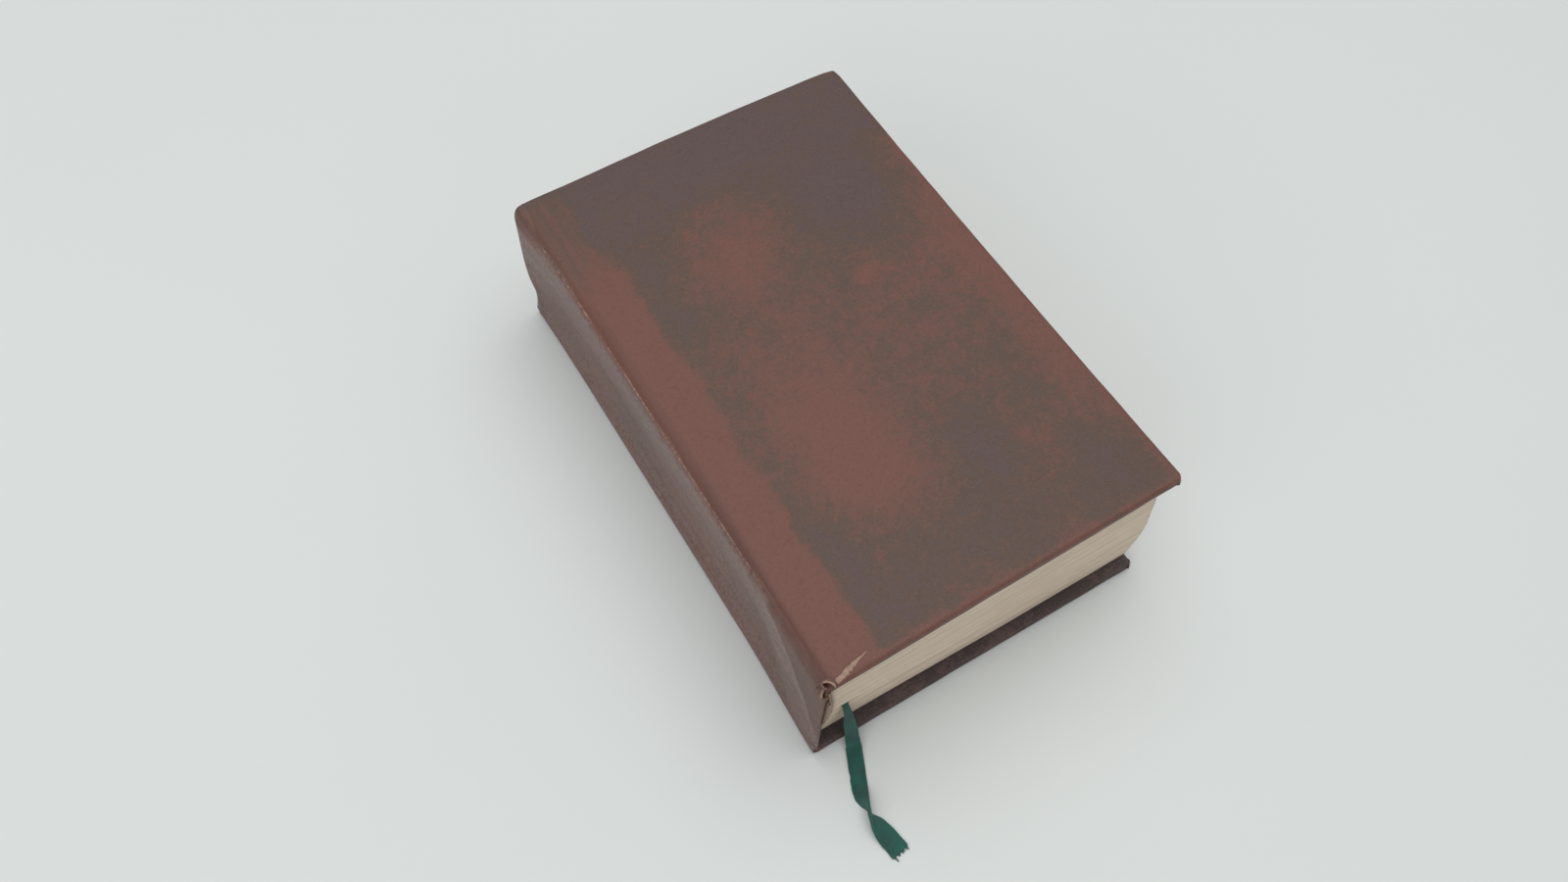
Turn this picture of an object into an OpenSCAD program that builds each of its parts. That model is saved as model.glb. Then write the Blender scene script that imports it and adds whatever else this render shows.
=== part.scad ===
/* [Covers] */
// Width of a cover, from its spine edge to its fore-edge
cover_w = 116; // [90:1:150]
// Height of a cover, from its tail edge to its head edge
cover_h = 180; // [150:1:220]
// Thickness of the boards
board_t = 1.7; // [1.2:0.1:3]
// Thickness of the leather on the outside of the boards and the spine
leather_t = 0.8; // [0.5:0.1:1.2]
// Thickness of the leather where it is pared and turned in
turn_in_t = 0.5; // [0.3:0.1:0.8]
// Width of the leather turned in over the edges of a board
turn_in_w = 13; // [8:1:18]
// Radius of the rounding along the head, tail and fore-edge of a cover
edge_r = 1.3; // [0.8:0.1:1.6]
// Radius of the rounding along the spine edge of a cover
shoulder_r = 2.4; // [1.5:0.1:2.8]
// Radius of the worn corners of a cover, seen from above
corner_r = 3; // [1:0.5:8]

/* [Page block] */
// Width of a leaf, from the back fold to the fore-edge
leaf_w = 112.5; // [90:0.5:140]
// How far the covers stand out past the leaves at the head and the tail
square_w = 4.5; // [3:0.5:8]
// Thickness of the page block at the spine
block_t = 47.4; // [20:0.2:70]
// How much thicker the block has swollen at the fore-edge
swell = 3.2; // [0:0.1:6]
// How far the middle leaves have slid towards the fore-edge
sway = 4.3; // [0:0.1:6]
// How low in the block the slide is greatest, 1 is at half height
sway_skew = 1.6; // [1:0.1:2]
// How far the last leaf stands towards the fore-edge of the first
lean = 0.9; // [0:0.1:2]

/* [Spine] */
// Thickness of the card inlay
inlay_t = 0.6; // [0.4:0.1:1.2]
// Thickness of the paper lining on the mull
lining_t = 0.3; // [0.2:0.1:0.6]
// Thickness of the mull
mull_t = 0.3; // [0.2:0.1:0.5]
// Length of the leather turned in at the head and tail of the spine
spine_turn_in = 12; // [6:1:16]
// How far the ends of the spine stand out from its middle
end_flare = 1; // [0.8:0.1:1.4]
// Share of the leaves' slide that the middle of the spine has followed
follow = 0.6; // [0:0.05:1]
// Width of the mull's flange on each board
flange_w = 20; // [10:1:30]
// How far the mull stays clear of the leather turned in at the head and the tail
mull_clear = 3.5; // [1:0.5:8]

/* [Endpapers] */
// Thickness of the endpapers
paper_t = 0.2; // [0.1:0.05:0.3]
// Border of turned-in leather that the pastedown leaves open at the fore-edge
border = 4.5; // [3:0.5:8]

/* [Joints] */
// Running gap between what turns and what stays
hinge_gap = 0.3; // [0.2:0.05:0.5]
// Distance of the joint's axis outside the spine edge of the cover
hinge_out = 1.4; // [1.2:0.1:2]

/* [Ribbon] */
// Width of the ribbon
ribbon_w = 6; // [4:0.5:8]
// Thickness of the ribbon
ribbon_t = 0.4; // [0.3:0.05:0.6]

/* [Hidden] */

// A cover from its inner face outwards: paper, pared turn-in, board, leather
turn_in_z = paper_t;
board_z = turn_in_z + turn_in_t;
leather_z = board_z + board_t;
cover_t = leather_z + leather_t;

// Heights of the leaves and endpapers, and of the mull between the turn-ins
leaf_h = cover_h - 2 * square_w;
mull_h = cover_h - 2 * (turn_in_w + mull_clear);

// Levels at the spine, from the table up: the back cover, the joint, the block, the joint
leaf_gap = hinge_gap / 3;
back_hinge_z = cover_t + hinge_gap / 2;
block_z = cover_t + leaf_gap + paper_t;
block_top = block_z + block_t;

// Slack between the inlay and the lined back of the block, at its nearest
spine_slack = 0.3;
// Least distance of the spine leather from the joint's axis, at the flared ends
axis_clear = 0.2;
spine_set = axis_clear + end_flare;
block_set = spine_set + leather_t + inlay_t + spine_slack + lining_t + mull_t;

// The book is centred on the table: the flared spine leather against the bulge of the leaves
bulge = sway + lean * pow(0.5, 1 / sway_skew);
hinge_x = -(block_set + leaf_w + bulge + axis_clear) / 2;
block_x = hinge_x + block_set;
cover_x = hinge_x + hinge_out;

// The front cover lies on the swollen block, so it stands tilted about its joint
tilt = atan(swell / leaf_w);
fly_level = leaf_gap + paper_t - hinge_gap / 2;
front_hinge_z = block_top + fly_level / cos(tilt) - tan(tilt) * block_set;

// The spine leather runs from joint to joint, clear of both covers
spine_bottom = back_hinge_z + hinge_gap / 2;
spine_top = front_hinge_z - hinge_gap / 2;

// Steps of a curved profile, and of the arcs on an edge
levels = 16;
arc_steps = 6;
// A cut reaches this far past what it cuts
over = 1;
// Least radius at a corner of a board
least_r = 0.5;
// How much shorter the spine's lining is than the leaves, at each end
lining_inset = 1;

leather_colour = "#6b3a2c";
edge_colour = "#4e342c";
page_colour = "#c9b99d";
paper_colour = "#d3c6ab";
board_colour = "#a89272";
card_colour = "#b7a27c";
cloth_colour = "#d8d2bf";
ribbon_colour = "#17493b";

// Points of an arc
function arc(x, y, r, from, to) =
    [for (i = [0:arc_steps])
        let (a = from + (to - from) * i / arc_steps)
        [x + r * cos(a), y + r * sin(a)]];

function unit(v) = v / norm(v);

function smooth(t) = let (c = max(0, min(1, t))) c * c * (3 - 2 * c);

function spread(from, to, steps) = [for (i = [0:steps]) from + (to - from) * i / steps];

function reversed(list) = [for (i = [len(list) - 1:-1:0]) list[i]];

// How far a leaf has slid, u is 0 on the first leaf and 1 on the last
function slide(u) = lean * u + sway * sin(180 * pow(u, sway_skew));

// Height on the spine at which the leaf u lies
function spine_level(u) = block_top - u * block_t;

// The spine has caved in after the leaves. At this level the hollow ends this far from the
// head and lower down nearer to it, and the tail end has stayed out along a slanting line
head_level = 47;
head_rest = 5;
head_slope = 0.7;
tail_rise = 30;
hollow_fade = 24;
function hollow(y, z) =
    smooth((cover_h / 2 - head_rest + (head_level - z) * head_slope - y) / hollow_fade)
    * smooth((y + cover_h / 2 - tail_rise * z / spine_top) / hollow_fade);

// Outer face of the spine leather, flared over this length at each end
flare_len = 45;
function flare(y) = end_flare * smooth(1 - (cover_h / 2 - abs(y)) / flare_len);
function spine_x(y, z) =
    let (u = max(0, min(1, (block_top - z) / block_t)))
    hinge_x + spine_set - flare(y) + follow * slide(u) * hollow(y, z);

// Solid through rings of points. Each ring runs clockwise seen from the far end. Its way out
// and its way back are split along the same diagonals, so that a thin form stays even
module skin(rings) {
    n = len(rings[0]);
    half = floor(n / 2);
    last = len(rings) - 1;
    points = [for (ring = rings) each ring];
    start_cap = [[for (j = [0:n - 1]) n - 1 - j]];
    end_cap = [[for (j = [0:n - 1]) last * n + j]];
    sides = [for (i = [0:last - 1], j = [0:n - 1])
        let (
            k = (j + 1) % n,
            a = i * n + k,
            b = a + n,
            c = i * n + n + j,
            d = i * n + j,
            out = (rings[i][k] - rings[i][j]) * (rings[i][half] - rings[i][0]) > 0)
        each out ? [[a, b, c], [a, c, d]] : [[a, b, d], [b, c, d]]];
    polyhedron(points, concat(start_cap, sides, end_cap));
}

// A profile drawn in width and height, run along the book
module along_book(length) {
    rotate([90, 0, 0])
        linear_extrude(length, center = true)
            children();
}

// Places of the two covers. Inner face on the joint's level, outer face up
module on_front() {
    translate([hinge_x, 0, front_hinge_z])
        rotate([0, -tilt, 0])
            translate([hinge_out, 0, hinge_gap / 2])
                children();
}

module on_back() {
    translate([cover_x, 0, cover_t])
        mirror([0, 0, 1])
            children();
}

// Outline of a cover with its corners worn round on the fore-edge side
module cover_outline(inset) {
    x1 = cover_w - inset;
    y1 = cover_h / 2 - inset;
    r = max(corner_r - inset, least_r);
    polygon(concat(
        [[inset, -y1]],
        arc(x1 - r, -y1 + r, r, -90, 0),
        arc(x1 - r, y1 - r, r, 0, 90),
        [[inset, y1]]));
}

// Leather of one cover, rounded over the board's edges and turned in on the inner face
module cover_leather() {
    top = cover_t;
    low = turn_in_z;
    under_r = turn_in_t;
    half = cover_h / 2;
    difference() {
        intersection() {
            linear_extrude(top)
                cover_outline(0);
            along_book(cover_h)
                polygon(concat(
                    arc(under_r, low + under_r, under_r, 180, 270),
                    arc(cover_w - under_r, low + under_r, under_r, 270, 360),
                    arc(cover_w - edge_r, top - edge_r, edge_r, 0, 90),
                    arc(shoulder_r, top - shoulder_r, shoulder_r, 90, 180)));
            rotate([90, 0, 90])
                linear_extrude(cover_w)
                    polygon(concat(
                        arc(under_r - half, low + under_r, under_r, 180, 270),
                        arc(half - under_r, low + under_r, under_r, 270, 360),
                        arc(half - edge_r, top - edge_r, edge_r, 0, 90),
                        arc(edge_r - half, top - edge_r, edge_r, 90, 180)));
        }
        board();
        inner_window(-over, board_z + over);
    }
}

module board() {
    translate([0, 0, board_z])
        linear_extrude(board_t)
            cover_outline(leather_t);
}

// The part of a cover's inner face between the turn-ins, from one level to another
module inner_window(from, to, inset = 0) {
    x0 = leather_t + inset;
    x1 = cover_w - turn_in_w - inset;
    y1 = cover_h / 2 - turn_in_w - inset;
    translate([x0, -y1, from])
        cube([x1 - x0, 2 * y1, to - from]);
}

// Flange of the mull, glued to the board inside the joint
module mull_flange() {
    translate([leather_t, -mull_h / 2, board_z - mull_t])
        cube([flange_w, mull_h, mull_t]);
}

// Pasted half of an endpaper: it dips off the turn-ins to the board and over the flange
module pastedown() {
    floor_z = board_z - paper_t;
    difference() {
        translate([leather_t, -leaf_h / 2, 0])
            cube([cover_w - leather_t - border, leaf_h, board_z]);
        difference() {
            translate([0, -cover_h / 2, turn_in_z])
                cube([cover_w, cover_h, board_z]);
            inner_window(0, board_z);
        }
        difference() {
            inner_window(-over, floor_z, paper_t);
            translate([0, -mull_h / 2 - paper_t, floor_z - mull_t])
                cube([leather_t + flange_w + paper_t, mull_h + 2 * paper_t, mull_t + over]);
        }
        mull_flange();
    }
}

// Free end of the ribbon: out of the slit, down over the back cover and along the table,
// turned over once. Each point has its roll and the share of its width that lies open
ribbon_route = [
    [-48, -85.5, 15.5], [-48, -86.8, 14], [-48, -88, 11], [-48.1, -89.3, 8], [-48.2, -90.7, 5],
    [-48.6, -92.3, 2.8], [-49.2, -94.2, 1.2], [-50.4, -97, 0.5], [-52.2, -101, 0.3],
    [-53.6, -104, 0.4], [-54.8, -106.6, 1.2], [-55.4, -109, 1.4], [-55.5, -111, 1.5],
    [-55.4, -113.4, 1.7], [-55, -116.4, 1.2], [-54.4, -121, 0.5], [-53.6, -126, 0.3]];
ribbon_roll = [0, 0, 0, 0, 0, 5, 5, 0, 0, 5, 25, 60, 95, 130, 160, 177, 180];
ribbon_share = [0.45, 0.6, 0.7, 0.75, 0.75, 0.75, 0.78, 0.78, 0.76, 0.74, 0.66, 0.45, 0.4,
    0.6, 0.85, 1, 1];

// The slit between two leaves that holds the ribbon, up to a little short of the head
slit_play = 0.1;
ribbon_in_w = ribbon_w * ribbon_share[0];
slit_w = ribbon_in_w + 2 * slit_play;
slit_t = ribbon_t + slit_play;
ribbon_stop = 6;

// Sewn leaves as one solid, slid after each other, with the ribbon's slit
module text_block() {
    color(page_colour)
        difference() {
            along_book(leaf_h)
                polygon(concat(
                    [for (u = spread(0, 1, levels))
                        [block_x + slide(u), spine_level(u)]],
                    [for (u = spread(1, 0, levels))
                        [block_x + leaf_w + slide(u), block_z + (1 - u) * (block_t + swell)]]));
            translate([ribbon_route[0].x - slit_w / 2, -leaf_h / 2 - over,
                ribbon_route[0].z - slit_t / 2])
                cube([slit_w, leaf_h + over - ribbon_stop, slit_t]);
        }
}

module ribbon_inside() {
    color(ribbon_colour)
        translate([ribbon_route[0].x - ribbon_in_w / 2, -leaf_h / 2,
            ribbon_route[0].z - ribbon_t / 2])
            cube([ribbon_in_w, leaf_h - ribbon_stop, ribbon_t]);
}

module front_flyleaf() {
    color(paper_colour)
        translate([hinge_x, 0, front_hinge_z])
            rotate([0, -tilt, 0])
                translate([block_set, -leaf_h / 2, -fly_level])
                    cube([leaf_w / cos(tilt), leaf_h, paper_t]);
}

module back_flyleaf() {
    color(paper_colour)
        translate([block_x + lean, -leaf_h / 2, block_z - paper_t])
            cube([leaf_w, leaf_h, paper_t]);
}

// Strip glued on the back of the leaves, between two depths
module back_strip(near, far, length) {
    along_book(length)
        polygon(concat(
            [for (u = spread(0, 1, levels)) [block_x + slide(u) - far, spine_level(u)]],
            [for (u = spread(1, 0, levels)) [block_x + slide(u) - near, spine_level(u)]]));
}

module mull() {
    color(cloth_colour)
        back_strip(0, mull_t, mull_h);
}

module spine_lining() {
    color(card_colour)
        difference() {
            back_strip(0, mull_t + lining_t, leaf_h - 2 * lining_inset);
            mull();
        }
}

// Stations along the spine: the turned-in ends are apart, so that the inlay fits their folds
fold_end = cover_h / 2 - spine_turn_in;
inlay_end = cover_h / 2 - leather_t;
middle_steps = 20;
fold_steps = 3;
middle = [for (i = [1:middle_steps - 1]) fold_end * (2 * i / middle_steps - 1)];
head_fold = spread(fold_end, inlay_end, fold_steps);
head_open = [for (i = [0:fold_steps - 1]) head_fold[i]];
tail_fold = -1 * reversed(head_fold);
tail_open = -1 * reversed(head_open);

// One face of the spine at a height, some depth inside the outer face
function spine_run(stations, z, depth) = [for (y = stations) [spine_x(y, z) + depth, y, z]];

// Depths at which the leather's inner face, the inlay and the turned-in leather end
in_1 = leather_t;
in_2 = in_1 + inlay_t;
in_3 = in_2 + turn_in_t;

// The leather's fold round the inlay, from the outer face inwards, at the head or at the tail
fold_r = in_3 / 2;
function cap(side, z) =
    let (x = spine_x(side * cover_h / 2, z) + fold_r)
    [for (a = [0:180 / arc_steps:180])
        [x - fold_r * cos(a), side * (cover_h / 2 - fold_r + fold_r * sin(a)), z]];

// Leather at a height: out along the spine, round the inlay at the head, back, and round at the tail
function leather_ring(z) = concat(
    spine_run(concat(tail_open, middle, head_open), z, 0),
    cap(1, z),
    spine_run(reversed(head_open), z, in_3),
    spine_run(head_fold, z, in_2),
    spine_run(concat(reversed(head_fold), reversed(middle), reversed(tail_fold)), z, in_1),
    spine_run(tail_fold, z, in_2),
    spine_run(reversed(tail_open), z, in_3),
    reversed(cap(-1, z)));

module spine_leather() {
    color(leather_colour)
        skin([for (z = spread(spine_bottom, spine_top, levels)) leather_ring(z)]);
}

module spine_inlay() {
    stations = concat(tail_fold, middle, head_fold);
    color(card_colour)
        skin([for (z = spread(spine_bottom, spine_top, levels))
            concat(spine_run(stations, z, in_1), spine_run(reversed(stations), z, in_2))]);
}

module front_board() {
    color(board_colour)
        on_front() board();
}

module front_cover_leather() {
    color(leather_colour)
        on_front() cover_leather();
}

module front_mull_flange() {
    color(cloth_colour)
        on_front() mull_flange();
}

module front_pastedown() {
    color(paper_colour)
        on_front() pastedown();
}

module back_board() {
    color(board_colour)
        on_back() board();
}

module back_cover_leather() {
    color(edge_colour)
        on_back() cover_leather();
}

module back_mull_flange() {
    color(cloth_colour)
        on_back() mull_flange();
}

module back_pastedown() {
    color(paper_colour)
        on_back() pastedown();
}

// Direction of the ribbon's route at a point; it starts straight out of the slit
function heading(i) =
    i == 0 ? [0, -1, 0]
    : unit(ribbon_route[min(i + 1, len(ribbon_route) - 1)] - ribbon_route[i - 1]);

function ribbon_ring(i) =
    let (
        way = heading(i),
        flat = unit(cross([0, 0, 1], way)),
        up = cross(way, flat),
        across = flat * cos(ribbon_roll[i]) + up * sin(ribbon_roll[i]),
        face = cross(way, across),
        w = ribbon_w * ribbon_share[i] / 2,
        t = ribbon_t / 2)
    [for (c = [[-w, -t / 2], [-w, t / 2], [t - w, t], [w - t, t],
               [w, t / 2], [w, -t / 2], [w - t, -t], [t - w, -t]])
        ribbon_route[i] + across * c.x + face * c.y];

module ribbon() {
    color(ribbon_colour)
        skin([for (i = [0:len(ribbon_route) - 1]) ribbon_ring(i)]);
}

text_block();
front_flyleaf();
back_flyleaf();
mull();
spine_lining();
spine_inlay();
spine_leather();
front_board();
front_cover_leather();
front_mull_flange();
front_pastedown();
back_board();
back_cover_leather();
back_mull_flange();
back_pastedown();
ribbon_inside();
ribbon();
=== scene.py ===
import math

import bmesh
import bpy
from mathutils import Matrix, Vector, noise


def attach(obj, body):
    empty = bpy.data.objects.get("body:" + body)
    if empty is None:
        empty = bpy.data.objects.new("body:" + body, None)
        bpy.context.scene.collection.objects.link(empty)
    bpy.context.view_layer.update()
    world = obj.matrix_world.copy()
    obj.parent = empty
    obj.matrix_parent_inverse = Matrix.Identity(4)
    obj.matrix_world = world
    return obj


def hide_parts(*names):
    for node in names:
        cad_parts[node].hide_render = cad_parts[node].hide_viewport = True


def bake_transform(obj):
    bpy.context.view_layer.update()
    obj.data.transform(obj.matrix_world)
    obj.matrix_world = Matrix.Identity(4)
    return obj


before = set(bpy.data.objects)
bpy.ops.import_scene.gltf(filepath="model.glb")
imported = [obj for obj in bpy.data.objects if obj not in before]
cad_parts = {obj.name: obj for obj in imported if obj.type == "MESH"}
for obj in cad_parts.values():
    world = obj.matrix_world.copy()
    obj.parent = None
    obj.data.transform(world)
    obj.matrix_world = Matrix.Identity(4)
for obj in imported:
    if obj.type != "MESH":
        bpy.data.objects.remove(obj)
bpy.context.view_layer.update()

# Camera. It stands above the tail end of the spine, where the photograph was taken from, and
# looks down over the front cover towards the head.
camera_data = bpy.data.cameras.new("camera")
camera_data.sensor_width = 36
camera_data.lens = 29.09
camera = bpy.data.objects.new("camera", camera_data)
camera.location = (-0.13372, -0.16758, 0.35795)
camera.rotation_euler = [math.radians(angle) for angle in (30.2093, -2.2465, -31.4048)]
bpy.context.scene.collection.objects.link(camera)
bpy.context.scene.camera = camera


# Ribbon marker. A woven green ribbon 6 mm wide comes out of a slit between two leaves with one
# edge folded under, drops over the back cover, turns over once and ends cut and frayed.
MM = 0.001


def smooth(value):
    """Soft step from 0 to 1"""
    value = max(0.0, min(1.0, value))
    return value * value * (3 - 2 * value)


def make_piece(bm, name, material, body=None, replaced=()):
    """Turns a mesh drawn in millimetres into a piece in metres that rides on a body"""
    bmesh.ops.scale(bm, vec=(MM, MM, MM), verts=bm.verts)
    mesh = bpy.data.meshes.new(name)
    bm.to_mesh(mesh)
    bm.free()
    for polygon in mesh.polygons:
        polygon.use_smooth = True
    piece = bpy.data.objects.new(name, mesh)
    bpy.context.scene.collection.objects.link(piece)
    mesh.materials.append(material)
    if replaced:
        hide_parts(*replaced)
    if body:
        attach(piece, body)
    return piece


def add_node(tree, kind, inputs=None, **settings):
    """A node whose inputs are numbers, or sockets of other nodes"""
    node = tree.nodes.new(kind)
    for key, value in settings.items():
        setattr(node, key, value)
    for key, value in (inputs or {}).items():
        if isinstance(value, bpy.types.NodeSocket):
            tree.links.new(value, node.inputs[key])
        else:
            node.inputs[key].default_value = value
    return node


def math_node(tree, operation, a, b=0.0):
    return add_node(tree, "ShaderNodeMath", {0: a, 1: b}, operation=operation).outputs[0]


def ramp_between(tree, value, low, high):
    """0 below low, 1 above high and a soft step between"""
    return add_node(tree, "ShaderNodeMapRange",
                    {"Value": value, "From Min": low, "From Max": high},
                    interpolation_type="SMOOTHSTEP").outputs[0]


def mix_colours(tree, share, a, b):
    node = add_node(tree, "ShaderNodeMix", data_type="RGBA")
    for socket, value in ((node.inputs[0], share), (node.inputs[6], a), (node.inputs[7], b)):
        if isinstance(value, bpy.types.NodeSocket):
            tree.links.new(value, socket)
        else:
            socket.default_value = value if isinstance(value, float) else (*value, 1)
    return node.outputs[2]


def new_material(name, **values):
    """A material with the constant values of its shader set on the shader's own sockets"""
    material = bpy.data.materials.new(name)
    material.use_nodes = True
    shader = material.node_tree.nodes["Principled BSDF"]
    for key, value in values.items():
        shader.inputs[key.replace("_", " ")].default_value = value
    return material, material.node_tree, shader


def add_bump(tree, shader, height, distance):
    bump = add_node(tree, "ShaderNodeBump", {"Height": height, "Distance": distance})
    tree.links.new(bump.outputs[0], shader.inputs["Normal"])


def own_place(tree):
    """The piece's own coordinates"""
    return add_node(tree, "ShaderNodeTexCoord").outputs["Object"]


def noise_value(tree, vector, scale, detail=4.0, roughness=0.6):
    return add_node(tree, "ShaderNodeTexNoise", {
        "Vector": vector, "Scale": scale, "Detail": detail, "Roughness": roughness}).outputs[0]


def woven_ribbon():
    """Close cross ribs and lengthwise threads, by the ribbon's own map"""
    material, tree, shader = new_material("woven_ribbon", Sheen_Weight=0.12)
    lay = add_node(tree, "ShaderNodeUVMap", uv_map="lay").outputs[0]
    across_along = add_node(tree, "ShaderNodeSeparateXYZ", {0: lay}).outputs
    ribs_in_length, threads_in_width = 105, 15
    thread, rib = (
        math_node(tree, "SINE", math_node(tree, "MULTIPLY", way, count * math.tau))
        for way, count in zip(across_along, (threads_in_width, ribs_in_length)))
    weave = math_node(tree, "MULTIPLY", rib, thread)
    patchy = noise_value(tree, own_place(tree), 260.0, 5.0, 0.5)
    fade = math_node(tree, "ADD", patchy, math_node(tree, "MULTIPLY", weave, 0.16))
    colour = mix_colours(tree, ramp_between(tree, fade, 0.3, 0.75),
                         (0.005, 0.062, 0.046), (0.014, 0.125, 0.096))
    tree.links.new(colour, shader.inputs["Base Color"])
    tree.links.new(math_node(tree, "ADD", patchy, 0.2), shader.inputs["Roughness"])
    add_bump(tree, shader, weave, 0.00008)
    return material


ribbon_w = 6
ribbon_cloth_t = 0.22
ribbon_route = [
    (-48, -85.5, 15.5), (-48, -86.8, 14), (-48, -88, 11), (-48.1, -89.3, 8), (-48.2, -90.7, 5),
    (-48.6, -92.3, 2.8), (-49.2, -94.2, 1.2), (-50.4, -97, 0.5), (-52.2, -101, 0.3),
    (-53.6, -104, 0.4), (-54.8, -106.6, 1.2), (-55.4, -109, 1.4), (-55.5, -111, 1.5),
    (-55.4, -113.4, 1.7), (-55, -116.4, 1.2), (-54.4, -121, 0.5), (-53.6, -126, 0.3)]
ribbon_roll = [0, 0, 0, 0, 0, 5, 5, 0, 0, 5, 25, 60, 95, 130, 160, 177, 180]
ribbon_share = [0.6, 0.6, 0.62, 0.64, 0.66, 0.68, 0.74, 0.76, 0.76, 0.74, 0.7, 0.62, 0.6,
                0.66, 0.88, 1, 1]
turnover_at, turnover_reach = 11.8, 1.4
gathered, gathered_until = 0.47, 3.6
fold_r_flat, fold_r_turned = 0.16, 0.3
selvedge_wander, nibbled, ripple_h = 0.04, 0.8, 0.18
route_points = [Vector(point) for point in ribbon_route]


def between(values, position):
    """Value on a smooth line through a list, at a position counted in its steps"""
    last = len(values) - 1
    i = min(int(position), last - 1)
    t = position - i
    before, a, b, after = (values[max(0, min(last, i + k))] for k in (-1, 0, 1, 2))
    return 0.5 * (2 * a + (b - before) * t + (2 * before - 5 * a + 4 * b - after) * t * t
                  + (3 * a - before - 3 * b + after) * t ** 3)


def ribbon_axes(position):
    """Centre, crosswise direction and face of the ribbon"""
    centre = between(route_points, position)
    step = 0.05
    last = len(route_points) - 1
    way = (between(route_points, min(last, position + step))
           - between(route_points, max(0, position - step))).normalized()
    flat = Vector((0, 0, 1)).cross(way).normalized()
    roll = math.radians(between(ribbon_roll, position))
    across = flat * math.cos(roll) + way.cross(flat) * math.sin(roll)
    return centre, across, way.cross(across)


def folded_place(a, open_w, fold_r):
    """Where a point of the width lies when what is over the open width is folded under"""
    past = a - open_w
    if past <= 0:
        return a - open_w / 2, 0.0
    if past < math.pi * fold_r:
        return open_w / 2 + fold_r * math.sin(past / fold_r), fold_r * (math.cos(past / fold_r) - 1)
    return open_w / 2 - (past - math.pi * fold_r), -2 * fold_r


columns, rows = 26, 260
bm = bmesh.new()
bm.loops.layers.uv.new("lay")
bmesh.ops.create_grid(bm, x_segments=columns, y_segments=rows, size=0.5, calc_uvs=True)
end_edges = sorted((edge for edge in bm.edges if min(v.co.y for v in edge.verts) > 0.4999),
                   key=lambda edge: edge.verts[0].co.x)
# The cut end is ragged: single threads and small tufts stand out of it
for i, edge in enumerate(end_edges):
    tuft = 0.004 + 0.018 * abs(math.sin(i * 0.5)) + 0.04 * abs(noise.noise(Vector((i * 0.83, 4.1, 0))))
    grown = bmesh.ops.extrude_edge_only(bm, edges=[edge])["geom"]
    tips = [v for v in grown if isinstance(v, bmesh.types.BMVert)]
    middle = sum((v.co for v in tips), Vector()) / 2
    for tip in tips:
        tip.co = middle.lerp(tip.co, 0.35)
        tip.co.y += tuft
last_step, fray_from, fray_length = len(route_points) - 1, 15.65, 55
for vert in bm.verts:
    u, v = vert.co.x + 0.5, vert.co.y + 0.5
    position = min(v, 1.0) * fray_from
    centre, across, face = ribbon_axes(position)
    # Selvedges pull in and out a little along the ribbon
    width = ribbon_w * (1 + selvedge_wander * noise.noise(Vector((v * 30, 0, 0))))
    # The slit between the leaves gathers it
    width *= gathered + (1 - gathered) * smooth(position / gathered_until)
    at_selvedge = smooth((abs(u - 0.5) - 0.3) * 5)
    width -= nibbled * at_selvedge * max(0, noise.noise(Vector((v * 26, u * 3, 7))))
    fold_r = fold_r_flat + fold_r_turned * math.exp(-((position - turnover_at) / turnover_reach) ** 2)
    open_w = min(width, width * between(ribbon_share, position))
    side, depth = folded_place(u * width, open_w, fold_r)
    ripple = ripple_h * noise.noise(Vector((u * 2, v * 16, 0))) * smooth(v * 8)
    beyond = max(0, v - 1.0) * fray_length
    way = across.cross(face) * -1
    vert.co = centre + across * side + face * (depth + ripple) - way * beyond * (1 if way.y > 0 else -1)
    vert.co.z = max(vert.co.z, ribbon_cloth_t / 2)
ribbon_cloth = woven_ribbon()
ribbon = make_piece(bm, "ribbon_marker", ribbon_cloth, replaced=["ribbon"])
cloth = ribbon.modifiers.new("cloth", "SOLIDIFY")
cloth.thickness = ribbon_cloth_t * MM
cloth.offset = 0
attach(ribbon, "block")


# Leaves. Several hundred sewn leaves of uncoated paper, cut smooth long ago. They have slid
# forward in the middle and swollen at the fore-edge, and stand apart a little round the ribbon.
block_x, block_z, block_t = -57.0418, 3.5, 47.4
leaf_w, leaf_h = 112.5, 171
swell, sway, sway_skew, lean = 3.2, 4.3, 1.6, 0.9
fore_edge_hollow, tail_shift = 1.0, 0.8
bundle_step, fore_edge_step, long_step = 0.22, 0.28, 0.1
parted_reach, parted_lift, parted_fade = 4.2, 0.42, 2.5
slit_half, slit_depth = 0.34, 3.5


def slide(u):
    """How far a leaf has slid, u is 0 on the first leaf and 1 on the last"""
    return lean * u + sway * math.sin(math.pi * u ** sway_skew)


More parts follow.
